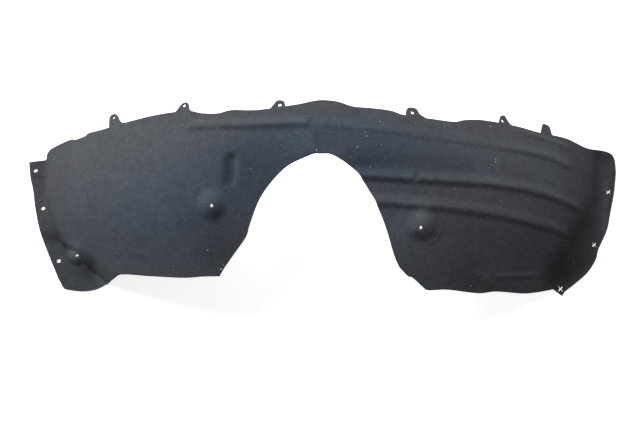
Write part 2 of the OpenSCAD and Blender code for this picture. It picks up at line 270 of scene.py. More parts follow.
class StageLook(bpy.types.PropertyGroup):
    """Camera and light."""

    elevation: FloatProperty(
        name="Elevation", description="Angle of the camera above the floor",
        default=math.radians(68), subtype="ANGLE")
    distance: FloatProperty(
        name="Distance", description="Distance from the camera to what it looks at",
        default=2.6, unit="LENGTH")
    lens: FloatProperty(
        name="Lens", description="Focal length in millimetres", default=88.64)
    key_power: FloatProperty(
        name="Key Light", description="Power of the high light on the left in watts", default=37)
    low_power: FloatProperty(
        name="Low Light", description="Power of the low light on the left in watts", default=36)
    side_power: FloatProperty(
        name="Side Light", description="Power of the light over the right end in watts",
        default=2.2)
    fill: FloatProperty(
        name="Fill Light", description="Strength of the light from all round", default=0.13)
    lint_count: IntProperty(
        name="Faint Lint", description="Number of small lint specks", default=60)


class Form:
    """The pressed surface in millimetres, from the sizes."""

    # The lobe's wall: its direction in plan, its slope and its rounding.
    lobe_dir = math.radians(-41)
    lobe_wall = 3.4
    lobe_round = 8
    # The drop of the inboard right corner: where it starts, its slope and its rounded run.
    corner_y = -67
    corner_slope = 0.5
    corner_run = 28
    # The short rib near the outer edge, the ridge over the cut-out, the groove and the mark.
    edge_rib_h = 3
    edge_rib_half_w = 7.5
    ridge_h = 2.6
    groove_depth = 7
    groove_half_w = 14
    mark_h = 2.6
    mark_half_w = 7
    # The notch in the upper side rib: its depth as a share of the rib, half width and slant.
    notch_share = 0.7
    notch_half_w = 8
    notch_slant = 0.35
    # The lobe's boss is smaller than the two others.
    lobe_boss_r = 20
    lobe_top_r = 6
    # Rounding of a boss's foot and top, and of its foot against the lobe's wall.
    boss_round = 3.5
    boss_wall_round = 2.5
    # Where a boss stops: past its foot, above or below it, and as a share of its height.
    boss_past_foot = 12
    boss_apart = 60
    boss_least_share = -1.5

    def __init__(self, sizes):
        for key in sizes.__annotations__:
            value = getattr(sizes, key)
            scaled = key not in ("side_slope", "right_flare")
            setattr(self, key, value / MM if scaled else value)
        self.arch_r = (self.span ** 2 / 4 + self.rise ** 2) / (2 * self.rise)
        self.axis_z = self.felt_t + self.rise - self.arch_r
        crown = self.crown_x
        left = self.left_x = crown - self.span / 2
        right = self.right_x = crown + self.span / 2
        self.bend_run = self.shoulder_r * math.sin(self.side_slope)
        self.bend_drop = self.shoulder_r * (1 - math.cos(self.side_slope))
        self.lobe_line = (left + 56.5, -54.0)
        self.land_rib_y = self.shoulder_y + 5.5
        # Start and end of each rib: two on the land, two on the side and one near the edge.
        self.rib_a = (left + 254, crown - 20)
        self.rib_b = (crown + 4, right - 52)
        self.rib_c = (crown + 40, right - 41)
        self.rib_d = (crown + 60, right - 66)
        self.rib_e = (right - 105, right - 52)
        self.notch_x = crown + 151
        self.ridge_x = crown - 10
        self.groove_x = crown - 139.5
        self.mark = (right - 176, right - 114)
        self.clip_holes = ((left - 16.5, 97), (left + 0.5, 29), (left + 32, -63.5))
        self.slits = ((right + 20.5, 58.5), (right - 9.5, -36), (right - 69, -112.5))

    def bend(self, d):
        """Drop of the side at a distance inboard of the shoulder: a bend and then a slope."""
        round_part = self.shoulder_r - np.sqrt(
            np.maximum(self.shoulder_r ** 2 - np.minimum(d, self.bend_run) ** 2, 0))
        straight = self.bend_drop + (d - self.bend_run) * math.tan(self.side_slope)
        return np.where(d < self.bend_run, round_part, straight)

    def far_right(self, x):
        """A share that grows from halfway to the right end."""
        return ease(self.span / 4, self.span / 2, x - self.crown_x)

    def radius_at(self, x, y):
        """Radius of the arch: it shrinks down the side and at the inboard right corner."""
        flare = 1 - self.right_flare * self.far_right(x)
        run = self.corner_run
        below = np.maximum(self.corner_y + run / 2 - y, 0)
        drop = np.where(below < run, below ** 2 / (2 * run), below - run / 2)
        corner = self.corner_slope * self.far_right(x) * drop
        return self.arch_r - self.bend(np.maximum(self.shoulder_y - y, 0)) * flare - corner

    def arch(self, x, y):
        """Height of the plain arch."""
        inside = self.radius_at(x, y) ** 2 - (x - self.crown_x) ** 2
        return self.axis_z + np.sqrt(np.maximum(inside, 1))

    def crease(self, x, y):
        """Distance along X from the crown to the crease, where the arch meets a flange."""
        return np.sqrt(self.radius_at(x, y) ** 2 - (self.felt_t - self.axis_z) ** 2)

    def land_rib(self, x):
        """Y of the land ribs' line: it starts 9 mm outboard and dips 11.5 and 6 mm inboard."""
        along = x - self.crown_x
        start = 9 * (1 - ease(self.rib_a[0], self.rib_a[0] + 110, x))
        dip = 11.5 * mound((along - 185) / 260) + 6 * ease(360, 430, along)
        return self.land_rib_y + start - dip

    def rib_c_y(self, x):
        """Y of the upper side rib, which climbs outboard to the right."""
        along = x - self.crown_x
        return 2 + 14.5 * ease(120, 360, along) - 3 * ease(370, 430, along)

    def rib_d_y(self, x):
        """Y of the lower side rib, which bows a little outboard."""
        return -35.5 + 3.5 * mound((x - self.crown_x - 280) / 200)

    def edge_rib_y(self, x):
        """Y of the short rib near the outer edge."""
        start = self.right_x - 170
        return self.shoulder_y + 32.5 + 3 * ease(start, start + 120, x)

    def ribs(self, x, y):
        """Height of the five ribs, with the slanted notch in the upper side rib."""
        fade, slope, drop = self.rib_fade, self.rib_half_w, self.rib_drop_w
        first = between(x, *self.rib_a, fade / 2)
        first = first * grown(0.65, self.rib_a[0], self.rib_a[0] + 120, x)
        second = between(x, *self.rib_b, fade / 2)
        second = second * grown(0.45, 250, 350, x - self.crown_x)
        land = self.land_rib_h * rib(y - self.land_rib(x), slope, drop) * (first + second)
        notch = (x - self.notch_slant * (y - 12) - self.notch_x) / self.notch_half_w
        upper = self.rib_h * rib(y - self.rib_c_y(x), slope, drop)
        upper = upper * between(x, *self.rib_c, fade) * (1 - self.notch_share * mound(notch))
        lower = 0.85 * self.rib_h * rib(y - self.rib_d_y(x), slope, drop)
        lower = lower * between(x, *self.rib_d, fade)
        start, end = self.rib_e
        half_w = self.edge_rib_half_w
        edge = self.edge_rib_h * rib(y - self.edge_rib_y(x), half_w, half_w)
        edge = edge * ease(start - 65, start, x) * (1 - ease(end, end + 12, x))
        return land + upper + lower + edge

    def marks(self, x, y):
        """Height of the ridge over the cut-out, the groove and the mark low on the right."""
        ridge = np.where(
            x < self.ridge_x,
            ease(self.ridge_x - 42, self.ridge_x, x),
            1 - ease(self.ridge_x, self.ridge_x + 12, x))
        ridge = self.ridge_h * ridge * between(y, 38, 80, 14)
        groove = mound((x - self.groove_x - 0.08 * y) / self.groove_half_w)
        groove = -self.groove_depth * groove * between(y, 0, 34, 12)
        start, end = self.mark
        line_y = -116 + 12 * np.clip((x - start) / (end - start), 0, 1)
        mark = self.mark_h * mound((y - line_y) / self.mark_half_w) * between(x, start, end, 8)
        return ridge + groove + mark

    def lobe_rise(self, x, y):
        """Height of the wall between the corner lobe and the arch."""
        across = (x - self.lobe_line[0]) * -math.sin(self.lobe_dir)
        across = across + (y - self.lobe_line[1]) * math.cos(self.lobe_dir)
        return self.felt_t + self.lobe_wall * across

    def sheet(self, x, y):
        """Height of the pressed sheet, but for its bosses."""
        panel = self.arch(x, y) + self.ribs(x, y) + self.marks(x, y)
        walled = under(panel, self.lobe_rise(x, y), self.lobe_round)
        left = over(walled, self.felt_t, self.left_crease_r)
        right = over(panel, self.felt_t, self.right_crease_r)
        return np.where(x < self.crown_x, left, right)

    def normal(self, x, y):
        """Direction square to the plain arch at one place."""
        slope_x = float(self.arch(x + 1, y) - self.arch(x - 1, y)) / 2
        slope_y = float(self.arch(x, y + 1) - self.arch(x, y - 1)) / 2
        return Vector((-slope_x, -slope_y, 1)).normalized()

    def bosses(self):
        """Foot, normal, height, lean, foot radius and top radius of each pressed boss."""
        found = []
        for foot, lean in (((self.crown_x - 166.5, -32), (3, -2)),
                           ((self.crown_x + 155.5, -60.5), (-3, -4))):
            base = Vector((*foot, float(self.arch(*foot))))
            found.append(
                (base, self.normal(*foot), self.boss_h, lean, self.boss_r, self.boss_top_r))
        base = Vector((self.left_x + 64.5, -53, self.felt_t))
        found.append((base, UP, self.lobe_boss_h, (-1, -6), self.lobe_boss_r, self.lobe_top_r))
        return found

    def near_boss(self, x, y, reach):
        """Whether a place lies within a distance of a boss's foot."""
        return any((base.x - x) ** 2 + (base.y - y) ** 2 < reach ** 2
                   for base, *_ in self.bosses())


def ease(a, b, v):
    """0 before a, 1 after b, and a smooth step between."""
    t = np.clip((v - a) / (b - a), 0, 1)
    return t * t * (3 - 2 * t)


def mound(t):
    """A smooth hump: 1 at 0, and nothing past 1 either way."""
    return np.where(np.abs(t) >= 1, 0, (1 + np.cos(np.pi * np.clip(t, -1, 1))) / 2)


def over(a, b, k):
    """The higher of two surfaces, rounded where they meet."""
    return np.maximum(a, b) + np.maximum(k - np.abs(a - b), 0) ** 2 / (4 * k)


def under(a, b, k):
    """The lower of two surfaces, rounded where they meet."""
    return -over(-a, -b, k)


def between(v, start, end, fade):
    """1 from start to end, fading out before and after."""
    return ease(start - fade, start, v) * (1 - ease(end, end + fade, v))


def grown(share, start, end, v):
    """A share that grows to 1 between two places."""
    return share + (1 - share) * ease(start, end, v)


def rib(v, slope, drop):
    """A rib across its line: a gentle outboard side and a steeper inboard one."""
    gentle = 0.5 * (np.maximum(1 - v / slope, 0) + mound(v / slope))
    return np.where(v > 0, gentle, mound(v / drop))


def upright(normal):
    """Turn that stands +Z on a normal, first about X and then about Y."""
    about_x = math.asin(-normal.y)
    about_y = math.atan2(normal.x, normal.z)
    return Matrix.Rotation(about_y, 4, "Y") @ Matrix.Rotation(about_x, 4, "X")


def press_bosses(form, points):
    """Pushes the sheet's points out along each boss's own normal.

    A boss is a leaning cone. The share of its height at a point is that of the circle,
    between foot and top, which runs through the point.
    """
    for base, normal, height, lean, foot_r, top_r in form.bosses():
        turn = upright(normal).to_3x3()
        axes = np.array(turn.transposed())
        local = (points - np.array(base)) @ axes.T
        q, above = local[:, :2], local[:, 2]
        shift = np.array(lean, float)
        drop = foot_r - top_r
        a = drop ** 2 - shift @ shift
        b = foot_r * drop - q @ shift
        c = foot_r ** 2 - (q ** 2).sum(1)
        share = (b - np.sqrt(np.maximum(b ** 2 - a * c, 0))) / a
        rise = under(over(height * share, 0.0, form.boss_round), height, form.boss_round)
        rise = np.where(share > form.boss_least_share, rise, 0)
        wall = np.maximum(above, 0) if normal.z > 0.999 else 0
        rise = np.maximum(over(rise, wall, form.boss_wall_round) - wall, 0)
        rise = np.where(np.abs(above) < form.boss_apart, rise, 0)
        reach = foot_r + form.boss_past_foot
        rise = np.where((q ** 2).sum(1) < reach ** 2, rise, 0)
        points += rise[:, None] * np.array(normal)[None, :]
    return points


def fresh(name):
    """Names the active object and its mesh, and returns it."""
    made = bpy.context.active_object
    made.name = name
    made.data.name = name
    return made


def deselect():
    """Leaves edit mode and selects nothing."""
    if bpy.context.object and bpy.context.object.mode != "OBJECT":
        bpy.ops.object.mode_set(mode="OBJECT")
    bpy.ops.object.select_all(action="DESELECT")


def settle(piece):
    """Applies the piece's place to its mesh."""
    deselect()
    bpy.context.view_layer.objects.active = piece
    piece.select_set(True)
    bpy.ops.object.transform_apply(location=True, rotation=True, scale=True)
    return piece


def apply_modifier(piece, kind, **settings):
    """Adds one modifier with its settings and applies it."""
    modifier = piece.modifiers.new(kind.title(), kind)
    for key, value in settings.items():
        setattr(modifier, key, value)
    bpy.context.view_layer.objects.active = piece
    bpy.ops.object.modifier_apply(modifier=modifier.name)


def cut(piece, tool, operation):
    """Joins, keeps or cuts a piece by a closed tool, which is then thrown away."""
    apply_modifier(piece, "BOOLEAN", operation=operation, object=tool, solver="MANIFOLD")
    bpy.data.objects.remove(tool)


def joined(tools):
    """Several tools that lie apart, as one."""
    deselect()
    for tool in tools:
        tool.select_set(True)
    bpy.context.view_layer.objects.active = tools[0]
    bpy.ops.object.join()
    return tools[0]


def prism(name, outline, low, high):
    """A flat disc pulled to an outline and extruded. All sizes are in millimetres."""
    deselect()
    bpy.ops.mesh.primitive_circle_add(vertices=len(outline), radius=1, fill_type="NGON")
    block = fresh(name)
    for vertex, (x, y) in zip(block.data.vertices, outline):
        vertex.co = (x * MM, y * MM, low * MM)
    bpy.ops.object.mode_set(mode="EDIT")
    bpy.ops.mesh.select_all(action="SELECT")
    bpy.ops.mesh.extrude_region_move(
        TRANSFORM_OT_translate={"value": (0, 0, (high - low) * MM)})
    bpy.ops.mesh.select_all(action="SELECT")
    bpy.ops.mesh.normals_make_consistent(inside=False)
    bpy.ops.object.mode_set(mode="OBJECT")
    return block


def on_curve(a, b, c, d, t):
    """A place on the smooth curve from b to c, where a and d come before and after."""
    return 0.5 * (2 * b + (c - a) * t + (2 * a - 5 * b + 4 * c - d) * t * t
                  + (3 * b - a - 3 * c + d) * t * t * t)


def run(points, steps=7):
    """A smooth run through a few points."""
    p = [Vector(q) for q in points]
    last = len(p) - 1
    found = []
    for i in range(last):
        ends = (p[max(i - 1, 0)], p[i], p[i + 1], p[min(i + 2, last)])
        found += [on_curve(*ends, s / steps) for s in range(steps)]
    return found + [p[last]]


def beside(x0, points):
    """Plan points whose X is counted from one place."""
    return [(x0 + x, y) for x, y in points]


def die_outline(form):
    """The cut edge: smooth runs with a sharp corner between runs."""
    left, crown, right = form.left_x, form.crown_x, form.right_x
    outboard = beside(left, (
        (1, 126), (7, 131.5), (26, 132), (48, 131), (56, 127), (73, 126.5), (82, 129.5),
        (112, 127), (204, 127), (252, 123), (272, 116), (298, 112), (320, 115)))
    outboard += beside(crown, (
        (-96, 111.5), (-40, 117), (-8, 123.5), (8, 124.5), (28, 122), (51, 114.5),
        (78, 113.5), (109, 111.5), (131, 106), (164, 104.5), (208, 105), (226, 111),
        (242, 115)))
    outboard += beside(right, (
        (-195, 118), (-140, 121.5), (-102, 123), (-53, 130.5), (-20, 130.5), (9, 134),
        (30, 127), (35.5, 113)))
    right_edge = beside(right, (
        (35.5, 93), (30, 57.5), (21, 19.5), (14.5, -7), (4, -30), (-3, -44), (-8.5, -62),
        (-23.5, -84), (-45, -103), (-61, -115.5)))
    right_tip = beside(right, ((-66.5, -123.5), (-71.5, -119.5), (-81, -114)))
    right_foot = beside(right, (
        (-108, -123), (-135, -130), (-180, -135.5), (-210, -142.5), (-260, -144.5)))
    right_foot += beside(crown, (
        (168, -148.6), (158, -144), (143.5, -134), (136, -132.5)))
    cut_out = beside(crown, (
        (122.5, -121), (114, -104.5), (98.5, -61.5), (77, -20.5), (51, 13), (21, 33.5),
        (4, 36), (-16, 33), (-53.5, 15), (-89, -23.5), (-107.2, -62), (-113.8, -80),
        (-132.5, -102), (-148, -120), (-155.5, -130.5)))
    left_foot = beside(crown, ((-185, -128), (-215, -126), (-267, -116)))
    left_foot += beside(left, (
        (157, -107.5), (145.5, -105), (137, -103.2), (130, -102.6), (124, -102),
        (118.5, -101.8), (112, -103.5), (101.5, -109.5), (90, -113.7), (71, -115.5),
        (47, -112), (41, -108)))
    left_edge = beside(left, (
        (33, -93.5), (13.5, -50), (-2.5, -10), (-12.5, 29), (-18, 60), (-24, 83),
        (-28.5, 112)))
    return (run(outboard) + run(right_edge) + right_tip + run(right_foot) + run(cut_out)
            + run(left_foot) + run(left_edge) + [(left, 116)])


def tab_places(form):
    """Place of each tab's hole, and the plan about it from the right foot to the left."""
    left, crown, right = form.left_x, form.crown_x, form.right_x
    return [
        (left + 124.1, 142.2, (
            (23, -15.2), (16.3, -13.5), (11.7, -7.4), (9.9, -2.6), (7.3, 2.3), (4.5, 5),
            (1, 6.3), (-1.9, 6.4), (-4.75, 5.2), (-6.5, 3), (-7.1, -1), (-7.1, -7.5),
            (-6.6, -15.2))),
        (left + 243.5, 134.2, (
            (18.3, -14.9), (13.5, -12.5), (9.9, -8.6), (8.6, -4.5), (8.2, -0.5), (6.8, 2.3),
            (4.4, 4.3), (2, 5.2), (-0.8, 4.8), (-3.4, 3.5), (-6.5, 0.7), (-9.8, -3.9),
            (-12.3, -6.8), (-14.5, -8.3), (-22, -9.2))),
        (crown - 62.5, 117.9, (
            (9.2, -3.5), (8.2, -0.2), (7.9, 2.4), (6.9, 5), (3.5, 7.1), (-0.5, 8),
            (-4.3, 7.3), (-6.5, 5.6), (-10, 0.9), (-15, -5.5))),
        (crown + 144.4, 111.5, (
            (25.5, -8.1), (21, -6.9), (16.3, -4.2), (12.3, -1.9), (10, 0.8), (8.3, 4.2),
            (6.2, 6.8), (3.5, 8.3), (-1.9, 8.6), (-6, 8), (-8.4, 6), (-10.1, 2.5),
            (-10.8, -1.7), (-11.4, -5), (-14, -8))),
        (right - 166.2, 124.5, (
            (21, -4.6), (15.2, -3.5), (12.2, -1.9), (9.1, 2.1), (6.3, 6.2), (4.6, 9.2),
            (2.7, 10.4), (-0.5, 9.4), (-3.6, 7.3), (-5.2, 4), (-6.3, 0.4), (-7.4, -4.9),
            (-7.7, -8))),
    ]


def blank_tab(form):
    """Place and plan of the tab that has no hole."""
    return (form.right_x - 89.5, 124.5, (
        (14, -1), (10.4, 2), (9.2, 4.5), (8.4, 8.2), (7.4, 11.8), (6.4, 14.7), (4.4, 16.4),
        (1.5, 17.1), (-2, 17.2), (-4.5, 16.9), (-6.5, 15.6), (-7.6, 13.6), (-8.5, 10.4),
        (-9.3, 6.6), (-10.3, 2.8), (-11, -3)))


def tab_outline(tab):
    """Plan of one tab, run on a little way inboard of its feet, into the sheet."""
    place = Vector(tab[:2])
    first, last = Vector(tab[2][0]), Vector(tab[2][-1])
    inboard = Vector((0, -8))
    return [place + p for p in [first + inboard] + run(tab[2], 3) + [last + inboard]]


def spot(x, y, place, size):
    """A soft spot, 1 in its middle."""
    return np.exp(-((x - place[0]) / size[0]) ** 2 - ((y - place[1]) / size[1]) ** 2)


def stroke(x, y, start, end, half_w):
    """A soft straight stroke, 1 along its middle."""
    along = np.array(end, float) - start
    t = ((x - start[0]) * along[0] + (y - start[1]) * along[1]) / (along @ along)
    t = np.clip(t, 0, 1)
    apart = np.hypot(x - start[0] - t * along[0], y - start[1] - t * along[1])
    return np.exp(-(apart / half_w) ** 2)


def chain(x, y, points, depths, half_ws):
    """Soft strokes from point to point, where the deepest one counts."""
    return np.max([
        depth * stroke(x, y, *ends, half_w)
        for ends, depth, half_w in zip(zip(points, points[1:]), depths, half_ws)], axis=0)


def places(piece):
    """The points of a piece's mesh, in metres."""
    flat = np.zeros(len(piece.data.vertices) * 3, np.float32)
    piece.data.vertices.foreach_get("co", flat)
    return flat.reshape(-1, 3).astype(float)


def paint_shading(felt, form):
    """Painted shade, highlights and bluish light, laid on the felt's points as two attributes.
    """
    x, y, z = places(felt).T / MM
    # Painted shade low on the flanges and up the crease, at the far left and on the steep right
    # end.
    left_flange = (1 - ease(6, 15, z)) * (1 - ease(-370, -360, x))
    left_rim = ease(-400, -450, x) * ease(6, 14, z)
    right_end = (1 - ease(20, 95, z)) * ease(330, 400, x)
    outboard = ease(4, 14, z) * ease(-30, 60, y)
    tone = 1 - 0.22 * left_flange - 0.10 * left_rim - (0.42 - 0.22 * outboard) * right_end
    # Painted highlight along the rib crests.
    tone += 0.09 * form.ribs(x, y) / form.rib_h
    # Painted shade along the creases, then painted spots and strokes of shade and highlight.
    for crease in CREASE_SHADE:
        tone -= chain(x, y, *crease)
    for strength, *where in LIGHT_AND_SHADE_SPOTS:
        tone += strength * spot(x, y, *where)
    for strength, *where in LIGHT_AND_SHADE_STROKES:
        tone += strength * stroke(x, y, *where)
    # Painted bluish light round the crown and the bosses and on the groove's far wall, none near
    # the outboard edge.
    blue = sum(strength * spot(x, y, *where) for strength, *where in BLUE_LIGHT_SPOTS)
    groove_wall = stroke(x, y, (-134, 35), (-132, 2), 6)
    blue = blue * (1 - ease(88, 112, y)) + 0.4 * groove_wall
    tone, blue = np.clip(tone, 0.3, 1.6), np.clip(blue, 0, 1)
    for name, values in (("felt_tone", tone), ("felt_blue", blue)):
        layer = felt.data.attributes.new(name, "FLOAT", "POINT")
        layer.data.foreach_set("value", values.astype(np.float32))


def punch(radius, place, normal, reach=12.0):
    """A round punch that runs a reach past a place, both ways, in millimetres."""
    deselect()
    bpy.ops.mesh.primitive_cylinder_add(
        vertices=40, radius=radius * MM, depth=2 * reach * MM)
    tool = fresh("punch")
    tool.matrix_world = Matrix.Translation(Vector(place) * MM) @ upright(normal)
    return settle(tool)


def slit_blade(form, place, turn, depth=30):
    """One of a cross slit's two blades."""
    deselect()
    bpy.ops.mesh.primitive_cube_add(size=1)
    blade = fresh("blade")
    scale = Matrix.Diagonal((form.slit_l * MM, form.slit_w * MM, depth * MM, 1))
    place = Matrix.Translation(Vector(place) * MM)
    blade.matrix_world = place @ Matrix.Rotation(turn, 4, "Z") @ scale
    return settle(blade)


def wave(x, y):
    """Height of the slow waves at one place, as a share."""
    return sum(
        share * noise.noise(Vector((x / along_x, y / along_y, seed)))
        for share, along_x, along_y, seed in WAVES)


def press_sheet(form, look):
    """The blank, pressed to the arch and given its thickness."""
    columns = int(BLANK_SHARE * form.span / form.net_pitch)
    rows = int(2 * BLANK_HALF_W / form.net_pitch)
    deselect()
    bpy.ops.mesh.primitive_grid_add(x_subdivisions=columns, y_subdivisions=rows, size=2)
    felt = fresh("pressed_felt")
    flat = places(felt)
    u = flat[:, 0] * BLANK_SHARE
    y = -BLANK_HALF_W + 2 * BLANK_HALF_W * (flat[:, 1] + 1) / 2
    x = form.crown_x + u * form.crease(form.crown_x + u * form.span / 2, y)
    points = np.stack([x, y, form.sheet(x, y)], 1)
    on_panel = ease(2, 14, points[:, 2] - form.felt_t)
    waves = np.array([wave(*place) for place in points[:, :2]])
    points[:, 2] += waves * on_panel * look.wave_h / MM
    points = press_bosses(form, points)
    felt.data.vertices.foreach_set("co", (points * MM).astype(np.float32).ravel())
    felt.data.update()
    apply_modifier(
        felt, "SOLIDIFY", thickness=form.felt_t * MM, offset=-1, use_even_offset=True,
        use_quality_normals=True)
    return felt


def cut_edge(felt, form):
    """Cuts the sheet to its outline with its tabs."""
    die = prism("die", die_outline(form), DIE_LOW, DIE_HIGH)
    for tab in tab_places(form) + [blank_tab(form)]:
        cut(die, prism("tab", tab_outline(tab), DIE_LOW, DIE_HIGH), "UNION")
    cut(felt, die, "INTERSECT")


def cut_holes(felt, form):
    """Punches the round holes and cuts the cross slits."""
    punches = []
    for x, y, _ in tab_places(form):
        place = (x, y, float(form.arch(x, y)))
        punches.append(punch(form.tab_hole_r, place, form.normal(x, y)))
    for place in form.clip_holes:
        punches.append(punch(form.clip_hole_r, (*place, form.felt_t), UP))
    for base, normal, height, lean, *_ in form.bosses():
        top = base + upright(normal).to_3x3() @ Vector((*lean, height))
        punches.append(punch(form.boss_hole_r, top, normal))
    slits = [(*place, form.felt_t) for place in form.slits]
    punches += [punch(form.slit_hole_r, place, UP) for place in slits]
    cut(felt, joined(punches), "DIFFERENCE")
    for turn in (math.radians(45), math.radians(135)):
        blades = [slit_blade(form, place, turn) for place in slits]
        cut(felt, joined(blades), "DIFFERENCE")


class LINER_OT_pressed_felt(bpy.types.Operator):
    """Press, cut and punch the felt sheet"""

    bl_idname = "liner.pressed_felt"
    bl_label = "Pressed Felt"

    def execute(self, context):
        form = Form(context.scene.liner_sizes)
        look = context.scene.felt_look
        felt = press_sheet(form, look)
        cut_edge(felt, form)
        cut_holes(felt, form)
        deselect()
        context.view_layer.objects.active = felt
        felt.select_set(True)
        bpy.ops.object.shade_smooth_by_angle(angle=math.radians(38))
        paint_shading(felt, form)
        felt.data.materials.clear()
        felt.data.materials.append(felt_material(look))
        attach(felt, "root")
        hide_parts("liner")
        return {"FINISHED"}


class Nodes:
    """Adds shader nodes to one material and links them."""

    def __init__(self, name):
        self.material = bpy.data.materials.new(name)
        self.material.use_nodes = True
        self.tree = self.material.node_tree
        self.tree.nodes.clear()

    def add(self, kind, inputs=None, **settings):
        node = self.tree.nodes.new(kind)
        for key, value in settings.items():
            setattr(node, key, value)
        for key, value in (inputs or {}).items():
            if isinstance(value, bpy.types.NodeSocket):
                self.tree.links.new(value, node.inputs[key])
            else:
                node.inputs[key].default_value = value
        return node

    def math(self, operation, a, b=0.0, clamp=False):
        node = self.add("ShaderNodeMath", {0: a, 1: b}, operation=operation, use_clamp=clamp)
        return node.outputs[0]

    def mix(self, share, a, b, blend="MIX"):
        node = self.add(
            "ShaderNodeMix", {0: share, 6: a, 7: b}, data_type="RGBA", blend_type=blend)
        return node.outputs[2]

    def noise(self, coords, scale, detail, roughness=0.5):
        node = self.add(
            "ShaderNodeTexNoise",
            {"Vector": coords, "Scale": scale, "Detail": detail, "Roughness": roughness})
        return node.outputs["Fac"]

    def ramp(self, value, low, high):
        """A smooth step from 0 at low to 1 at high."""
        node = self.add(
            "ShaderNodeMapRange", {"Value": value, "From Min": low, "From Max": high},
            interpolation_type="SMOOTHSTEP")
        return node.outputs["Result"]


def color4(color):
    """A colour with full opacity."""
    return (*color, 1.0)


def fibres(n, coords, size):
    """Fine streaks of fibre, in layers that lie every way."""
    strands = None
    for k, angle in enumerate(FIBRE_TURNS):
        turned = n.add(
            "ShaderNodeMapping",
            {"Vector": coords, "Rotation": (0, 0, math.radians(angle)),
             "Location": (0.37 * k, 0.21 * k, 0),
             "Scale": (0.14 / size, 1 / size, 0.6 / size)})
        streak = n.add(
            "ShaderNodeTexNoise",
            {"Vector": turned.outputs[0], "Scale": 1.0, "Detail": 2.0, "Distortion": 0.6})
        sharp = n.ramp(streak.outputs["Fac"], 0.50, 0.72)
        strands = sharp if strands is None else n.math("MAXIMUM", strands, sharp)
    return strands


def specks(n, coords):
    """Faint pale specks: small dots in a few of the pattern's cells."""
    cells = n.add("ShaderNodeTexVoronoi", {"Vector": coords, "Scale": 110.0})
    dot = n.math("SUBTRACT", 1.0, n.ramp(cells.outputs["Distance"], 0.03, 0.085))
    picked = n.add("ShaderNodeSeparateColor", {0: cells.outputs["Color"]})
    return n.math("MULTIPLY", dot, n.ramp(picked.outputs[0], 0.86, 0.99))


def felt_material(look):
    """Needle felt: fibres lying every way, soft mottling and faint specks."""
    n = Nodes("needle_felt")
    coords = n.add("ShaderNodeTexCoord").outputs["Object"]
    # The painted shade, highlights and bluish light laid on the felt's points.
    painted_light = n.add("ShaderNodeAttribute", attribute_name="felt_tone").outputs["Fac"]
    painted_blue_light = n.add("ShaderNodeAttribute", attribute_name="felt_blue").outputs["Fac"]
    strands = fibres(n, coords, look.fibre_size)
    grain = n.noise(coords, 0.45 / look.fibre_size, 4.0, 0.65)
    mottle = n.noise(coords, 85.0, 4.0, 0.6)
    broad = n.noise(coords, 9.0, 2.0)
    deep = n.ramp(grain, 0.34, 0.62)
    patch = n.math("MULTIPLY", n.math("SUBTRACT", broad, 0.5), 0.9)
    # Painted bluish light, with random patches, tints the felt.
    tint = n.mix(n.math("ADD", painted_blue_light, patch, clamp=True), WHITE, color4(look.blue_light_tint))
    base = n.mix(deep, color4(look.shade_color), color4(look.body_color))
    top = n.math("MULTIPLY", strands, n.ramp(mottle, 0.10, 0.80))
    color = n.mix(n.math("MULTIPLY", top, 0.75), base, color4(look.fibre_color))
    tone = n.math("ADD", 0.91, n.math("MULTIPLY", mottle, 0.06))
    # Painted shade and highlights darken and lighten the mottled tone.
    tone = n.math("MULTIPLY", tone, painted_light)
    clouds = n.math("ADD", 0.86, n.math("MULTIPLY", broad, 0.28))
    tone = n.math("MULTIPLY", tone, clouds)
    shade = n.add("ShaderNodeCombineColor", {0: tone, 1: tone, 2: tone})
    toned = n.mix(1.0, color, shade.outputs[0], "MULTIPLY")
    tinted = n.mix(1.0, toned, tint, "MULTIPLY")
    speck = n.math("MULTIPLY", specks(n, coords), 0.8)
    specked = n.mix(speck, tinted, color4(look.lint_color))
    height = n.math("ADD", n.math("MULTIPLY", strands, 0.5), grain)
    bump = n.add("ShaderNodeBump", {"Height": height, "Strength": 0.55, "Distance": 0.0004})
    shader = n.add(
        "ShaderNodeBsdfPrincipled",
        {"Base Color": specked, "Roughness": 0.95, "Specular IOR Level": 0.10,
         "Sheen Weight": look.sheen, "Sheen Roughness": 0.6,
         "Sheen Tint": (0.80, 0.86, 1.0, 1.0), "Normal": bump.outputs[0]})
    n.add("ShaderNodeOutputMaterial", {"Surface": shader.outputs[0]})
    return n.material


def lint_material(look):
    """White fibre that is greyer in its hollows."""
    n = Nodes("lint")
    coords = n.add("ShaderNodeTexCoord").outputs["Object"]
    tufted = n.ramp(n.noise(coords, 2500.0, 3.0), 0.35, 0.6)
    color = n.mix(tufted, (0.36, 0.37, 0.40, 1), color4(look.lint_color))
    shader = n.add(
        "ShaderNodeBsdfPrincipled",
        {"Base Color": color, "Roughness": 1.0, "Specular IOR Level": 0.1})
    n.add("ShaderNodeOutputMaterial", {"Surface": shader.outputs[0]})
    return n.material


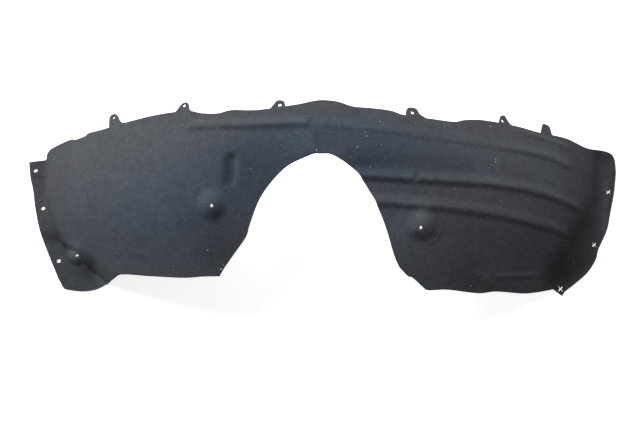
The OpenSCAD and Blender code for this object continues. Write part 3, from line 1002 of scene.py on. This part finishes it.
def tuft(form, x, y, size, seed):
    """One flattened, ragged ball of fibre that lies on the sheet."""
    deselect()
    bpy.ops.mesh.primitive_ico_sphere_add(subdivisions=2, radius=size * MM)
    ball = fresh("tuft")
    rng = random.Random(seed)
    shift = Vector((rng.uniform(0, 90), rng.uniform(0, 90), rng.uniform(0, 90)))
    raggedness, lumps, flatness = 0.9, 1.6, 0.45
    for vertex in ball.data.vertices:
        ragged = 1 + raggedness * noise.noise(vertex.co / MM * lumps / size + shift)
        vertex.co = vertex.co * ragged
    place = np.array([[x, y, float(form.sheet(x, y))]])
    top = press_bosses(form, place)[0]
    turn = upright(form.normal(x, y)) if top[2] > form.felt_t + 1 else Matrix.Identity(4)
    squash = Matrix.Diagonal((1, rng.uniform(0.6, 1), flatness, 1))
    spin = Matrix.Rotation(rng.uniform(0, math.pi), 4, "Z")
    ball.matrix_world = Matrix.Translation(Vector(top) * MM) @ turn @ spin @ squash
    return settle(ball)


def kept_clean(form, x, y):
    """Whether no strewn lint falls on a place: the low ends, the cut-out and the bosses."""
    low = form.sheet(x, y) < 20
    over_cut_out = y < 45 - 0.0062 * (x - form.crown_x) ** 2
    return low or over_cut_out or form.near_boss(x, y, 30)


class LINER_OT_lint(bpy.types.Operator):
    """Lay white lint on the felt"""

    bl_idname = "liner.lint"
    bl_label = "Lint"

    def execute(self, context):
        form = Form(context.scene.liner_sizes)
        tufts = [tuft(form, x, y, size / 10, k) for k, (x, y, size) in enumerate(LINT)]
        rng = random.Random(LINT_SEED)
        while len(tufts) < len(LINT) + context.scene.stage_look.lint_count:
            x, y = rng.uniform(*LINT_X), rng.uniform(*LINT_Y)
            if not kept_clean(form, x, y):
                tufts.append(tuft(form, x, y, rng.uniform(*LINT_SIZE), len(tufts)))
        lint = joined(tufts)
        lint.name = "lint"
        lint.data.name = "lint"
        lint.data.materials.clear()
        lint.data.materials.append(lint_material(context.scene.felt_look))
        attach(lint, "root")
        return {"FINISHED"}


def lamp(name, size, power, place, target):
    """A round soft lamp, aimed at a place."""
    deselect()
    bpy.ops.object.light_add(type="AREA", location=place)
    light = bpy.context.active_object
    light.name = name
    light.data.shape = "DISK"
    light.data.size = size
    light.data.energy = power
    light.rotation_euler = (Vector(target) - Vector(place)).to_track_quat("-Z", "Y").to_euler()


def floor_material(glow=0.80):
    """Pale floor that shows as white and still takes a faint shadow."""
    n = Nodes("pale_floor")
    coords = n.add("ShaderNodeTexCoord").outputs["Object"]
    cloud = n.noise(coords, 3.0, 2.0)
    tint = n.mix(cloud, (0.80, 0.80, 0.80, 1), (0.82, 0.82, 0.82, 1))
    matt = n.add("ShaderNodeBsdfDiffuse", {"Color": tint})
    path = n.add("ShaderNodeLightPath")
    seen = n.math("MAXIMUM", path.outputs["Is Camera Ray"], path.outputs["Is Glossy Ray"])
    seen = n.math("MAXIMUM", seen, path.outputs["Is Transmission Ray"])
    light = n.add("ShaderNodeEmission", {"Strength": n.math("MULTIPLY", seen, glow)})
    both = n.add("ShaderNodeAddShader", {0: matt.outputs[0], 1: light.outputs[0]})
    n.add("ShaderNodeOutputMaterial", {"Surface": both.outputs[0]})
    return n.material


def light_room(fill):
    """A world that lights faintly from all round and shows as white."""
    world = bpy.data.worlds.new("room")
    world.use_nodes = True
    tree = world.node_tree
    background = tree.nodes["Background"]
    background.inputs["Color"].default_value = (0.96, 0.98, 1.0, 1)
    path = tree.nodes.new("ShaderNodeLightPath")
    pick = tree.nodes.new("ShaderNodeMix")
    pick.inputs[2].default_value = fill
    pick.inputs[3].default_value = 1.0
    tree.links.new(path.outputs["Is Camera Ray"], pick.inputs[0])
    tree.links.new(pick.outputs[0], background.inputs["Strength"])
    return world


class LINER_OT_stage(bpy.types.Operator):
    """Set the floor, the light and the camera"""

    bl_idname = "liner.stage"
    bl_label = "Stage"

    def execute(self, context):
        look = context.scene.stage_look
        form = Form(context.scene.liner_sizes)
        target = Vector((form.crown_x, *AIM)) * MM
        deselect()
        bpy.ops.mesh.primitive_plane_add(size=FLOOR_SIZE, location=(0, 0, FLOOR_Z))
        floor = fresh("floor")
        settle(floor)
        floor.data.materials.append(floor_material())
        deselect()
        bpy.ops.object.camera_add()
        camera = context.active_object
        camera.name = "camera"
        back = Vector((0, -math.cos(look.elevation), math.sin(look.elevation)))
        camera.location = target + look.distance * back
        camera.rotation_euler = (-back).to_track_quat("-Z", "Y").to_euler()
        camera.data.lens = look.lens
        camera.data.sensor_width = 36
        camera.data.clip_end = 50
        context.scene.camera = camera
        for name, size, power, place, aim in LAMPS:
            lamp(name, size, getattr(look, power), place, aim)
        context.scene.world = light_room(look.fill)
        context.scene.view_settings.view_transform = "Standard"
        return {"FINISHED"}


class LINER_PT_panel(bpy.types.Panel):
    """Lists the liner's steps and settings"""

    bl_label = "Wheel Arch Liner"
    bl_idname = "LINER_PT_panel"
    bl_space_type = "VIEW_3D"
    bl_region_type = "UI"
    bl_category = "Liner"

    def draw(self, context):
        layout = self.layout
        for operator in OPERATORS:
            layout.operator(operator.bl_idname)
        for group in ("liner_sizes", "felt_look", "stage_look"):
            settings = getattr(context.scene, group)
            for key in settings.__annotations__:
                layout.prop(settings, key)


GROUPS = (
    ("liner_sizes", LinerSizes),
    ("felt_look", FeltLook),
    ("stage_look", StageLook),
)
OPERATORS = (LINER_OT_pressed_felt, LINER_OT_lint, LINER_OT_stage)


def register():
    for name, group in GROUPS:
        bpy.utils.register_class(group)
        setattr(bpy.types.Scene, name, PointerProperty(type=group))
    for operator in OPERATORS:
        bpy.utils.register_class(operator)
    bpy.utils.register_class(LINER_PT_panel)


def unregister():
    bpy.utils.unregister_class(LINER_PT_panel)
    for operator in reversed(OPERATORS):
        bpy.utils.unregister_class(operator)
    for name, group in reversed(GROUPS):
        delattr(bpy.types.Scene, name)
        bpy.utils.unregister_class(group)


def main():
    register()
    bpy.ops.liner.pressed_felt()
    bpy.ops.liner.lint()
    bpy.ops.liner.stage()


if __name__ == "__main__":
    main()
